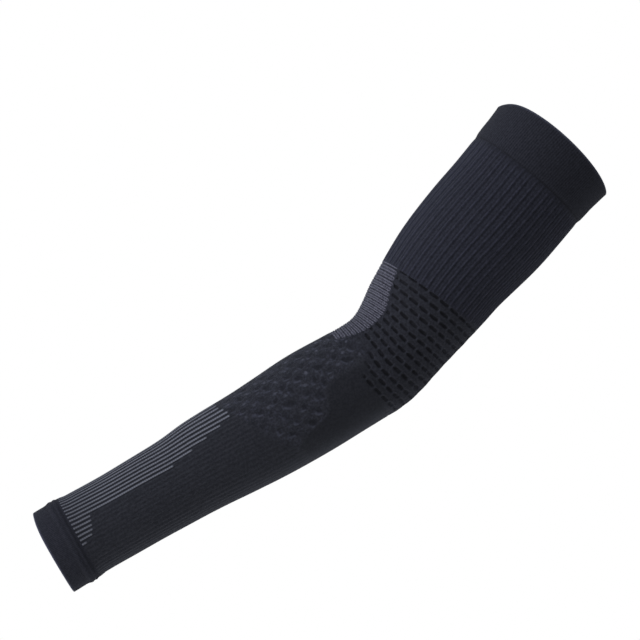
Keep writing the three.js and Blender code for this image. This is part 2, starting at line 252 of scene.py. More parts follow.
def make_wall(name, outside, inside, closed, attributes):
    """A mesh object of one wall. outside and inside are grids of distances, angles and points. A closed
    wall's last column repeats the first. attributes are grids of numbers on the outside, by name."""
    out_shape, in_shape = outside[0].shape, inside[0].shape
    out_ids = np.arange(outside[0].size).reshape(out_shape)
    in_ids = out_ids.size + np.arange(inside[0].size).reshape(in_shape)
    points = np.concatenate([outside[2].reshape(-1, 3), inside[2].reshape(-1, 3)])
    cloth = np.concatenate([
        np.stack([grid[1].ravel() / 360 * GIRTH, grid[0].ravel()], -1) for grid in (outside, inside)
    ])
    bake = np.concatenate([
        grid_places(*out_shape, OUTSIDE_LOW, 1.0),
        grid_places(*in_shape, 0.0, INSIDE_HIGH),
    ])
    groups = [(ids, bake[ids]) for ids in (faces_of(out_ids, False), faces_of(in_ids, True))]
    strips = [(out_ids[0], in_ids[0], True), (out_ids[-1], in_ids[-1], False)]
    if not closed:
        strips += [(out_ids[:, 0], in_ids[:, 0], False), (out_ids[:, -1], in_ids[:, -1], True)]
    for number, (fine, coarse, flip) in enumerate(strips):
        groups.append(strip_between(fine, coarse, STRIPS_LOW + STRIP_PITCH * number, flip))

    same = np.arange(len(points))
    if closed:
        same[out_ids[:, -1]] = out_ids[:, 0]
        same[in_ids[:, -1]] = in_ids[:, 0]
    kept, renumber = np.unique(same, return_inverse=True)
    mesh = bpy.data.meshes.new(name)
    mesh.from_pydata(points[kept], [], [face for ids, _ in groups for face in renumber[ids].tolist()])
    for layer, values in (
        ("Cloth", np.concatenate([cloth[ids].reshape(-1, 2) for ids, _ in groups])),
        ("OFBake", np.concatenate([places.reshape(-1, 2) for _, places in groups])),
    ):
        mesh.uv_layers.new(name=layer).uv.foreach_set("vector", values.astype(np.float32).ravel())
    for layer, values in attributes.items():
        whole = np.concatenate([np.asarray(values, np.float32).ravel(), np.zeros(in_ids.size, np.float32)])
        mesh.attributes.new(layer, "FLOAT", "POINT").data.foreach_set("value", whole[kept])
    mesh.polygons.foreach_set("use_smooth", np.ones(len(mesh.polygons), bool))
    mesh.set_sharp_from_angle(angle=math.radians(SHARP_ANGLE))
    mesh.validate()
    wall = bpy.data.objects.new(name, mesh)
    bpy.context.scene.collection.objects.link(wall)
    triangles = sum(len(ids) * (ids.shape[1] - 2) for ids, _ in groups)
    print(f"{name}: {len(kept)} corners, {triangles} triangles")
    return wall


# %% [markdown]
# ## Where the zones meet
#
# The zones' edges are the CAD's: rings round the arm, a smooth step down to the panel, and the panel's
# own curved sides. The solids keep a gap of 0.3 mm between pieces. The knit has none, so here the
# walls touch.

# %% Edges of the zones
WRIST_CUFF_LENGTH = 22.5
UPPER_CUFF_START = WHOLE_LENGTH - 36.5
MESH_START, MESH_END = WRIST_TO_ELBOW - 16.5, WRIST_TO_ELBOW + 52.0
PANEL_START = WRIST_TO_ELBOW - 26.0
PANEL_HALF_ANGLE, PANEL_STEP_ANGLE = 57.0, 35.0
panel_half_at = smooth_curve([0, 0.2, 0.45, 0.63, 0.8, 1], [0.61, 0.78, 0.94, 1, 0.89, 0.77])
PANEL_CORNER = PANEL_HALF_ANGLE * panel_half_at(0.0)
WRIST_DIP = 2.5
TOP_DIP, TOP_CORNER, TOP_BACK_DIP = 6.5, 5.0, 4.0


def mesh_start_at(share):
    """The mesh band's edge on the wrist side: a ring, with a smooth step down to the panel's end."""
    past = ramp(from_crook(share * 360), PANEL_CORNER, PANEL_CORNER + PANEL_STEP_ANGLE)
    return PANEL_START + (MESH_START - PANEL_START) * past


def wrist_edge_at(share):
    """The wrist cuff's free edge: drawn in by a narrow dip at the crook."""
    return WRIST_DIP * wave(share) ** 8


def top_edge_at(share):
    """The upper cuff's free edge: drawn in towards the crook by a wide dip, whose corner is rounded
    off by a narrow one, and a little at the back."""
    near = wave(share)
    return WHOLE_LENGTH - TOP_DIP * near ** 4 - TOP_CORNER * near ** 24 - TOP_BACK_DIP * (1 - near) ** 7


print("mesh band from", MESH_START, "to", MESH_END, "mm; panel from", PANEL_START, "mm")

# %% [markdown]
# ## The forearm's ribs and grey stripes
#
# A rib is a column of stitches that stands a little proud. There are 56 of them round the forearm, and
# on the inner side each crest is knitted in grey, as far as a line of steps. The ribs don't run quite
# straight: they spread at the crook where the arm gets thicker. So we give each rib its angle at the
# wrist and how far it moves outwards, and let the grid's columns follow the ribs.

# %% Rib lines of the forearm
FOREARM_RIBS = 56
RIB_HEIGHT = 0.5
KNIT_WALL = 1.6
HALF_RIBS = FOREARM_RIBS / 2
rib_angle_at_wrist = smooth_curve([0, 4, 7, 10, 13, 16, 22, 28], [0, 28, 47.2, 64.4, 82.2, 99.8, 140.5, 180])
rib_spread = smooth_curve([0, 4, 10, 16, 28], [0, 1, 1, 0.6, 0])
spread_at = smooth_curve([0, 24, 62, 89.5, 106, 123, 145, 156, 275], [0, 0, 1.4, 3.1, 5, 6.8, 9.4, 9.9, 9.9])
# The grey stripes: the distance at which each one ends, counted from the rib in the crook
STRIPE_ENDS = np.array(
    [151.5, 151.5, 151.5, 152, 154.5, 156, 156, 147, 135, 122, 105, 37, 36, 35, 34, 32, 26]
)


def rib_angle(along, rib):
    """The angle of a rib line: its angle at the wrist, plus its share of the spread, and the mirror
    image past the back."""
    near = np.minimum(rib, FOREARM_RIBS - rib)
    angle = rib_angle_at_wrist(near) + rib_spread(near) * spread_at(along)
    return np.where(rib <= HALF_RIBS, angle, 360 - angle)


def stripe_left(along, rib):
    """How many millimetres of its grey stripe are left at a place, below zero past the end."""
    number = np.rint(np.minimum(rib, FOREARM_RIBS - rib)).astype(int)
    ends = np.concatenate([STRIPE_ENDS, np.zeros(FOREARM_RIBS)])
    return ends[number] - along


print("rib angles at 24 mm:", np.round(rib_angle(24.0, np.arange(3.0, 17.0)), 1))

# %% [markdown]
# ## The lattice of the mesh and the honeycomb
#
# Round the elbow the knit opens into short slots, laid like bricks: 27 in a ring, and each ring
# shifted by half a slot. One number counts the rings along the arm, another the slots round it, and the
# distance to the nearest slot's middle gives both the dent and its painted shade.

# %% Rings and slots
SLOTS_ROUND = 27
SLOT_ANGLE = 360 / SLOTS_ROUND
SLOT_HALF_LENGTH, SLOT_HALF_WIDTH = 5.3, 1.05
RING_PLACES = np.array([251.5, 258, 264, 270.5, 277, 283, 289, 294.8, 301, 307.5, 313.5, 319.8, 326])
RING_PITCH = 6.2
SLOT_SHIFT = 0.12
JOINT_WIDTH = 1.5
RING_TURN = 95
LEAN_EARLY, LEAN_LATE, LEAN_CROOK = 5.2, -1.2, 2.6


def ring_count(along, angle):
    """Which ring a place is on, as a number that is whole on a ring. The rings turn on the
    side: towards the crook they lean to the top, and towards the back they lie a little closer."""
    angle = from_crook(angle)
    early = 1 - ramp(along, 250, 300)
    to_back = np.clip((angle - RING_TURN) / 45, 0, 1.3) * (LEAN_EARLY * early + LEAN_LATE * (1 - early))
    lean = LEAN_CROOK * np.sin(np.pi * np.clip((along - 258) / 74, 0, 1))
    to_crook = np.clip((RING_TURN - angle) / 28, 0, 1.6) * lean
    places = np.concatenate([RING_PLACES[:1] - RING_PITCH, RING_PLACES, RING_PLACES[-1:] + RING_PITCH])
    return np.interp(along - to_back - to_crook, places, np.arange(-1, len(RING_PLACES) + 1.0))


def slot_offsets(along, angle):
    """How far a place is from the nearest slot's middle, in millimetres along the arm and degrees
    round it. Every second ring is shifted by half a slot."""
    ring = ring_count(along, angle)
    nearest = np.rint(ring)
    slots = from_crook(angle) / SLOT_ANGLE + 0.5 * np.mod(nearest, 2) + SLOT_SHIFT
    return (ring - nearest) * RING_PITCH, (slots - np.rint(slots)) * SLOT_ANGLE


def slot_shape(along, angle):
    """1 inside a slot and 0 outside it. Its outline is a rounded oblong, by the sum of high powers of
    the two offsets over the slot's half sizes."""
    lengthwise, crosswise = slot_offsets(along, angle)
    inside = (crosswise / SLOT_HALF_LENGTH) ** 4 + np.abs(lengthwise / SLOT_HALF_WIDTH) ** 2
    return 1 - ramp(inside, 0.0, 2.6)


def slot_joint(along, angle):
    """The small raised bar of yarn between two slots of a ring: a round bump half way between them."""
    lengthwise, crosswise = slot_offsets(along, angle)
    return np.exp(-(np.hypot(SLOT_ANGLE / 2 - np.abs(crosswise), lengthwise) / JOINT_WIDTH) ** 2)


def slots_here(along, angle):
    """How strong the slots are: full from the first ring on the side and back, and starting later and
    more softly near the crook, where the honeycomb runs into them."""
    angle = from_crook(angle)
    start = 247.5 + 5.5 * ramp(100 - angle, 0, 14) + 9.0 * ramp(84 - angle, 0, 16)
    back = 4.0 * ramp(angle, 100, 140)
    return ramp(along - start - back, 0, 10.0 - 7.0 * ramp(angle, 85, 96))


sample = slot_shape(np.linspace(290, 310, 81)[:, None], np.linspace(80, 120, 81)[None, :])
print("share of the mesh that is slot:", round(float(sample.mean()), 3))

# %% [markdown]
# The honeycomb is knitted by holding some stitches back, so that the cloth swells between them. Its
# cells lie on a lattice of their own: a wave along the arm times a wave round it is highest in the
# middle of each swelling, and lowest in the dents that lie between four of them. A slow wobble of the
# place keeps the rows from looking ruled.

# %% Cells of the honeycomb
CELL_LENGTH, CELL_ANGLE = 14.8, 21.0
CELL_AT, CELL_TURNED = 219.0, 57.5
RIM_STEP = 1.6
CELL_EDGE_START = smooth_curve(
    [0, 50, 70, 88, 114, 134, 160, 180], [151.5, 157.5, 163.5, 169.5, 177, 187.5, 190, 192]
)
CELL_EDGE_END = smooth_curve([74, 82, 98, 112, 120, 134], [238, 227, 221, 214, 197, 187.5])


def cell_wave(along, angle):
    """The honeycomb's height, 1 on a swelling and -1 in a dent."""
    angle = from_crook(angle)
    wobble = 1.2 * np.sin(along / 6.1 + angle / 5.3) + 0.9 * np.sin(along / 3.1 - angle / 7.9)
    lengthwise = (along - CELL_AT + wobble) / CELL_LENGTH
    crosswise = (angle - CELL_TURNED + wobble) / CELL_ANGLE
    return np.cos(2 * np.pi * lengthwise) * np.cos(2 * np.pi * crosswise)


def dent_shape(along, angle):
    """1 in a dent and 0 outside it: the lowest part of the wave, with a firm edge."""
    return ramp(-cell_wave(along, angle), 0.25, 0.75)


# The rim is raised a little in the relief, and the materials paint a highlight on it.
def rim_shape(along, angle):
    """The thin edge beside each dent, where the cloth rises again: what the dent covers after a small
    step towards the top and the crook, less what it covers here."""
    moved = dent_shape(along + RIM_STEP, angle - RIM_STEP)
    return np.clip(moved - dent_shape(along, angle), 0, 1)


def highlight_spot_shape(along, angle):
    """The painted highlight on top of each swelling. Past the side towards the back it fades."""
    fade = 1 - 0.8 * ramp(from_crook(angle), 58, 86)
    return ramp(cell_wave(along, angle), 0.72, 1.0) * fade


def ribs_here(along, angle):
    """1 where the forearm is ribbed, and 0 past the line on which the honeycomb starts."""
    return ramp(CELL_EDGE_START(from_crook(angle)) - along, -3.0, 1.0)


def cells_here(along, angle):
    """1 between the honeycomb's slanted start and end, fading out where the slots begin."""
    angle = from_crook(angle)
    end = np.where(angle < 76, 1.0, ramp(CELL_EDGE_END(angle) - along, -2.0, 4.0))
    fade = (1 - ramp(along, 250, 270)) * ramp(136 - angle, 0, 8)
    return (1 - ribs_here(along, angle)) * end * fade


def plain_here(along, angle):
    """1 on the plain dark cloth between the honeycomb and the slots, on the side that faces out."""
    angle = from_crook(angle)
    past = ramp(along - CELL_EDGE_END(angle), -3.0, 4.0) * (1 - ribs_here(along, angle))
    return past * ramp(angle, 76, 86) * ramp(160 - angle, 0, 20)


print("honeycomb starts at", np.round(CELL_EDGE_START(np.array([0.0, 90.0, 180.0])), 1), "mm")

# %% [markdown]
# ## The forearm sleeve
#
# The grid's columns follow the ribs, eight to each, and its rows run from the wrist cuff to the elbow
# band. The last rows lie closer together, because the first slots are there. The relief is the ribs,
# the honeycomb's swellings, and those slots.

# %% Build the forearm sleeve
RIB_COLUMNS, INSIDE_ROWS = 8, 24
FOREARM_STEPS = np.concatenate([np.linspace(0, 0.94, 148), np.linspace(0.94, 1, 30)[1:]])
SEAM_LIFT, SEAM_SLOPE_END = 0.7, 28.0
SHALLOWER_PLAIN, SHALLOWER_BACK, SLOTS_CLOSING = 0.25, 0.2, 0.4
DENT_DEPTH, RIM_HEIGHT = 0.4, 0.15
SLOT_DEPTH, JOINT_HEIGHT = 0.75, 0.1


def walls_of(outside, inside, relief):
    """The outside of a wall with its relief, and its plain inside, from the places on both."""
    return (*outside, on_sleeve(*outside, relief)), (*inside, on_sleeve(*inside, -KNIT_WALL))


def tube_walls(steps, ribs, end_at, angle_at, start, relief):
    """A tube's walls, and the rib numbers of its outside. Rows run from the start to the end, which may
    differ round the arm, and columns follow the ribs."""
    def places(steps, ribs):
        along = start + (end_at(ribs) - start)[None, :] * steps[:, None]
        return along, angle_at(along, ribs[None, :])

    outside, inside = places(steps, ribs), places(np.linspace(0, 1, INSIDE_ROWS), ribs[::COARSE])
    rib = np.broadcast_to(ribs[None, :], outside[0].shape)
    return *walls_of(outside, inside, relief(*outside, rib)), rib


def forearm_end(rib):
    """The distance at which a rib line meets the elbow band."""
    return mesh_start_at(share_of(MESH_START, rib_angle(MESH_START, rib)))


def lattice_at(along, angle):
    """How strong each feature of the honeycomb and the mesh is, from 0 to 1, by name."""
    cells, slots = cells_here(along, angle), slots_here(along, angle)
    return {
        "quilted": cells,
        "spot": cells * highlight_spot_shape(along, angle),
        "dent": cells * dent_shape(along, angle),
        "rim": cells * rim_shape(along, angle),
        "slot": slots * slot_shape(along, angle),
        "joint": slots * slot_joint(along, angle),
    }


def lattice_relief(along, angle):
    """Dents and rims of the honeycomb, flatter at the crook, and the slots with the bars between them."""
    at = lattice_at(along, angle)
    cells = RIM_HEIGHT * at["rim"] - DENT_DEPTH * at["dent"]
    slots = SLOT_DEPTH * at["slot"] - JOINT_HEIGHT * at["joint"]
    return ramp(from_crook(angle), 2, 26) * cells - slots


def forearm_relief(along, angle, rib):
    """The outside's height: a slope up to the wrist cuff, the lattice, and the grooves between the
    ribs, which are shallower past the stripes and at the back."""
    striped = ramp(stripe_left(along, rib), -6, 0)
    at_back = ramp(from_crook(angle), 100, 160)
    height = RIB_HEIGHT * (1 - SHALLOWER_PLAIN * (1 - striped) - SHALLOWER_BACK * at_back)
    ribs = height * rib_share_at(along) * ribs_here(along, angle) * (1 - wave(rib))
    lift = SEAM_LIFT * (1 - ramp(along, WRIST_CUFF_LENGTH, SEAM_SLOPE_END))
    return lift + lattice_relief(along, angle) - ribs


def lattice_attributes(along, angle):
    """What the materials read of the lattice. Towards the back the slots close up, so their painted shade is
    weaker.
    """
    at = lattice_at(along, angle)
    return at | {"slot": at["slot"] * (1 - SLOTS_CLOSING * ramp(from_crook(angle), 100, 150))}


outside, inside, rib = tube_walls(
    FOREARM_STEPS, np.linspace(0, FOREARM_RIBS, FOREARM_RIBS * RIB_COLUMNS + 1),
    forearm_end, rib_angle, WRIST_CUFF_LENGTH, forearm_relief,
)
forearm = make_wall("forearm_knit_tube", outside, inside, True, {
    "rib": np.minimum(rib, FOREARM_RIBS - rib),
    "ribbed": ribs_here(*outside[:2]),
    "plain": plain_here(*outside[:2]),
    "stripe_left": stripe_left(outside[0], rib),
    **lattice_attributes(*outside[:2]),
})

# %% [markdown]
# ## The elbow band and the panel in the crook
#
# The band is a plate that is bent round the arm, from one side of the panel to the other. The panel
# fills the rest. It is knitted crosswise, so that it can fold when the arm bends: fine ridges run round
# the arm in pairs, with a deep valley between two pairs and a shallow one inside each. Its sides are
# cut in steps, one for each pair, because a change of yarn can only fall on a whole stitch.

# %% Build the elbow band and the panel
PANEL_LENGTH = MESH_END - PANEL_START
BAND_ROWS, BAND_COLUMNS = 153, 481
PANEL_ROWS, PANEL_COLUMNS = 301, 161
# The deep valleys, as places along the arm and the number of ridge pairs that lie before each
pair_at = smooth_curve([249, 267.7, 277.5, 286, 296.6, 321.5, 327], [0, 4, 6, 8, 11, 18, 19.3])
RIDGE_HEIGHT, BEAD_SHARE, SHALLOW_SHARE = 0.55, 0.25, 0.45
BEAD_ANGLE = 2.9
EDGE_MARGIN, TOOTH_ANGLE = 1.5, 2.6


def plate_walls(rows, columns, first_share, last_share, relief):
    """The walls of a bent plate: rows from its wrist edge to its top edge, and columns from one side
    edge to the other, which are given as shares of the way round for each row."""
    step = np.linspace(0, 1, rows)[:, None]
    across = np.linspace(0, 1, columns)[None, :]
    share = first_share(step) + (last_share(step) - first_share(step)) * across
    start = mesh_start_at(np.mod(share, 1.0))
    along = start + (MESH_END - start) * step
    outside = along, angle_of(along, share)
    return walls_of(outside, tuple(grid[::COARSE, ::COARSE] for grid in outside), relief(*outside))


def panel_share(step):
    """The panel's side edge as a share of the way round, at a share of its length."""
    return PANEL_HALF_ANGLE * panel_half_at(step) / 360


def ridge_count(along):
    """Which cross ridge of the panel a place is on, as a number that is whole on a crest."""
    return 2 * pair_at(along) + 0.5


def inside_steps(along, angle):
    """1 inside the panel's stepped side edge and 0 outside. The step's angle is the side edge's at the
    middle of each pair of ridges, less a margin and a tooth that is deepest at the valleys."""
    places = np.linspace(PANEL_START, MESH_END, 400)
    middle = np.interp(np.floor(pair_at(along)) + 0.5, pair_at(places), places)
    edge = angle_of(along, panel_share((middle - PANEL_START) / PANEL_LENGTH))
    tooth = TOOTH_ANGLE * wave(pair_at(along))
    return ramp(edge - EDGE_MARGIN - tooth - from_crook(angle), -0.4, 0.4)


def panel_relief(along, angle):
    """Cross ridges with rounded crests, broken into beads. Every second valley is deep."""
    ridge = ridge_count(along)
    crest = np.abs(np.cos(np.pi * ridge)) ** 1.5
    deep = wave((ridge - 0.5) / 2)
    beads = wave(from_crook(angle) / BEAD_ANGLE + 0.5 * np.mod(np.rint(ridge), 2))
    valleys = 1 - crest * (1 - BEAD_SHARE * (1 - beads))
    return -RIDGE_HEIGHT * valleys * (SHALLOW_SHARE + (1 - SHALLOW_SHARE) * deep)


outside, inside = plate_walls(
    BAND_ROWS, BAND_COLUMNS, panel_share, lambda step: 1 - panel_share(step), lattice_relief
)
band = make_wall("elbow_mesh_band", outside, inside, False, lattice_attributes(*outside[:2]))
outside, inside = plate_walls(
    PANEL_ROWS, PANEL_COLUMNS, lambda step: -panel_share(step), panel_share, panel_relief
)
panel = make_wall("crook_flex_panel", outside, inside, False, {
    "ridge": ridge_count(outside[0]),
    "turned": from_crook(outside[1]),
    "grey": inside_steps(*outside[:2]),
})

# %% [markdown]
# ## The upper arm's wide ribs
#
# Here the ribs are wider, 45 round the arm. Each is a bright ridge, then a groove on the side away from
# the crook, then a second, lower ridge and a shallow groove. Beside the cuff they flatten out.

# %% Build the upper arm sleeve
UPPER_ARM_RIBS = 45
UPPER_RIB_COLUMNS = 12
UPPER_ROWS = 81
GROOVE_AT, SECOND_RIDGE_AT, SHALLOW_GROOVE_AT = 0.27, 0.56, 0.8
RIB_START, RIB_END = MESH_END + 4, UPPER_CUFF_START - 5
BESIDE_CUFF = 0.6  # how deep the cloth lies beside the cuff, as a share of the ribs' height


def upper_rib_angle(along, rib):
    """The angle of a rib line of the upper arm. Towards the top the ribs draw together on the sides, by
    a sine of twice the angle and one of four times it."""
    even = 2 * np.pi * rib / UPPER_ARM_RIBS
    share = (along - MESH_END) / (UPPER_CUFF_START - MESH_END)
    twice, four_times = 1.4 + 3.7 * share, 2.8 * share - 0.9
    return np.degrees(even) + twice * np.sin(2 * even) + four_times * np.sin(4 * even)


def bump_at(rib, place, half_width):
    """A smooth bump in every rib, at a share of the rib's pitch."""
    off = np.abs(np.mod(rib - place + 0.5, 1.0) - 0.5)
    return np.exp(-((off / half_width) ** 2))


def upper_rib_relief(along, angle, rib):
    """A ridge, a groove and a lower ridge in each pitch, counted from the crook on either side."""
    near = np.minimum(rib, UPPER_ARM_RIBS - rib)
    ridges = bump_at(near, 0.0, 0.15) + 0.25 * bump_at(near, SECOND_RIDGE_AT, 0.12)
    grooves = 0.7 * bump_at(near, GROOVE_AT, 0.1) + 0.2 * bump_at(near, SHALLOW_GROOVE_AT, 0.08)
    start = ramp(along, MESH_END, RIB_START)
    end = 1 - ramp(along, RIB_END, UPPER_CUFF_START)
    return RIB_HEIGHT * ((ridges - grooves) * end - BESIDE_CUFF - (1 - BESIDE_CUFF) * end) * start


outside, inside, rib = tube_walls(
    np.linspace(0, 1, UPPER_ROWS), np.linspace(0, UPPER_ARM_RIBS, UPPER_ARM_RIBS * UPPER_RIB_COLUMNS + 1),
    lambda rib: np.full(rib.shape, UPPER_CUFF_START), upper_rib_angle, MESH_END, upper_rib_relief,
)
upper_arm = make_wall("upper_arm_rib_tube", outside, inside, True, {
    "rib": np.minimum(rib, UPPER_ARM_RIBS - rib),
    "seam": ramp(outside[0], RIB_END, UPPER_CUFF_START),
})

# %% [markdown]
# ## The folded cuffs
#
# Each cuff is knitted double: the tube is turned in and caught down, so it is thicker, smooth, and
# rounded at its free edge. Carrying a short profile round the arm gives the cuff. Beside the wrist
# cuff's seam two raised bands show where the fold is caught down, with creases between.

# %% Build the two cuffs
CUFF_WALL, CUFF_PROUD, FOLD_ROUND = 2.0, 0.6, 0.8
CUFF_COLUMNS = 288
CUFF_ROWS, FOLD_ROWS, CUFF_INSIDE_ROWS = 25, 6, 9
SEAM_REACH, SEAM_ROW = 12.6, 0.4
NO_FLARE, TOP_FLARE, FLARE_REACH = (0.0, 0.0), (0.3, 0.6), 4.0
FOLD_HIGHLIGHT_WIDTH = 0.9
TOP_BACK_PAINTED_SHADE = 0.45


def cuff_walls(seam, edge_at, lead, seam_profile, flare):
    """The outside and inside of a cuff. From the seam the outside follows its profile to the fold, a
    quarter circle goes round the fold, and the inside comes back. lead is 1 at the wrist and -1 at
    the top. flare is how far the free edge stands out at the back and sides, and at the crook."""
    share = np.linspace(0, 1, CUFF_COLUMNS + 1)
    edge = edge_at(share)
    from_seam = np.arange(0, SEAM_REACH, SEAM_ROW)[:, None]
    near_seam = np.broadcast_to(seam - lead * from_seam, (len(from_seam), len(edge)))
    fold = edge + lead * FOLD_ROUND
    plain = near_seam[-1] + (fold - near_seam[-1]) * np.linspace(0, 1, CUFF_ROWS)[1:, None]
    turn = np.linspace(0, np.pi / 2, FOLD_ROWS)[1:, None]
    rounded = fold - lead * FOLD_ROUND * np.sin(turn)

    def level(along, edge, share=share):
        opening = flare[0] + (flare[1] - flare[0]) * wave(share) ** 12
        return CUFF_PROUD + opening * np.exp(-np.abs(along - edge) / FLARE_REACH)

    along = np.concatenate([near_seam, plain, rounded, edge[None, :]])
    proud = np.concatenate([
        np.broadcast_to(seam_profile(from_seam), near_seam.shape),
        level(plain, edge),
        level(rounded, edge) - FOLD_ROUND * (1 - np.cos(turn)),
        level(edge[None, :], edge) - CUFF_WALL / 2,
    ])
    edge_in = edge[::COARSE]
    along_in = seam + (edge_in - seam) * np.linspace(0, 1, CUFF_INSIDE_ROWS)[:, None]
    proud_in = level(along_in, edge_in, share[::COARSE]) - CUFF_WALL
    grids = []
    for place, height, part in ((along, proud, share), (along_in, proud_in, share[::COARSE])):
        angle = angle_of(place, part[None, :])
        grids.append(tuple(grid[::-lead] for grid in (place, angle, on_sleeve(place, angle, height))))
    return grids


def make_cuff(name, seam, edge_at, lead, seam_profile, creases, flare, back_painted_shade):
    """A cuff. For its material, creases are rows of distance from the seam, half width and depth of painted
    shade, back_painted_shade is how much painted shade lies past its crook side, and a painted highlight
    runs along the fold."""
    outside, inside = cuff_walls(seam, edge_at, lead, seam_profile, flare)
    off = np.abs(outside[0] - seam)
    # Painted shade on the side away from the crook, and in the creases beside the seam
    crease = back_painted_shade * ramp(from_crook(outside[1]), 40, 110)
    for place, half_width, depth in creases:
        crease += depth * np.exp(-(((off - place) / half_width) ** 2))
    # A painted highlight along the rounded fold of the free edge
    from_edge = outside[0] - edge_at(np.linspace(0, 1, CUFF_COLUMNS + 1))
    fold = np.exp(-((from_edge / FOLD_HIGHLIGHT_WIDTH) ** 2))
    return make_wall(name, outside, inside, True, {"crease": crease, "fold": fold})


wrist_seam_profile = smooth_curve([0, 1.8, 3.3, 4.8, 7.0, 9.8, 12.6], [0.7, 0.8, 1.4, 1.1, 1.5, 0.75, 0.5])
top_seam_profile = smooth_curve([0, 1.0, 2.6, 6.0, 12.6], [-0.15, -0.05, 0.35, 0.6, 0.65])
# Creases of painted shade beside each cuff's seam: distance from the seam, half width and depth
WRIST_CREASES = ((1.7, 1.0, 0.9), (4.8, 0.9, 0.7), (10.0, 1.4, 0.5))
TOP_CREASES = ((0.0, 1.8, 0.8),)
wrist_cuff = make_cuff(
    "wrist_cuff_knit", WRIST_CUFF_LENGTH, wrist_edge_at, 1,
    wrist_seam_profile, WRIST_CREASES, NO_FLARE, 0.0,
)
upper_cuff = make_cuff(
    "upper_cuff_knit", UPPER_CUFF_START, top_edge_at, -1,
    top_seam_profile, TOP_CREASES, TOP_FLARE, TOP_BACK_PAINTED_SHADE,
)

# %% [markdown]
# ## A material made of stitches
#
# Knit reads as knit through columns of small V-shaped stitches, yarn whose colour varies a little, and
# the soft light edge that fibres give. We build them from nodes. The stitches come from the Cloth map,
# in millimetres, so they follow the tube. The helpers below keep a node on one line.

# %% Helpers for nodes
STITCH_WIDTH, STITCH_HEIGHT, STITCH_SLANT = 0.8, 0.62, 1.1
COLUMN_WIDTH, YARN_SPOT = 1.25, 0.0014
SPECULAR, SHEEN_ROUGHNESS, SHEEN_TINT = 0.12, 0.45, (0.8, 0.87, 1.0, 1.0)
BUMP_HEIGHT = 0.00012


def node(tree, kind, inputs=None, **settings):
    """The outputs of a new shader node with these options and inputs, which are sockets or values."""
    made = tree.nodes.new("ShaderNode" + kind)
    for key, value in settings.items():
        setattr(made, key, value)
    for key, value in (inputs or {}).items():
        if isinstance(value, bpy.types.NodeSocket):
            tree.links.new(value, made.inputs[key])
        else:
            made.inputs[key].default_value = value
    return made.outputs


def colour(red, green, blue):
    """A linear colour from the 0 to 255 values of a screen."""
    screen = np.array([red, green, blue]) / 255
    linear = np.where(screen <= 0.04045, screen / 12.92, ((screen + 0.055) / 1.055) ** 2.4)
    return (*linear.tolist(), 1.0)


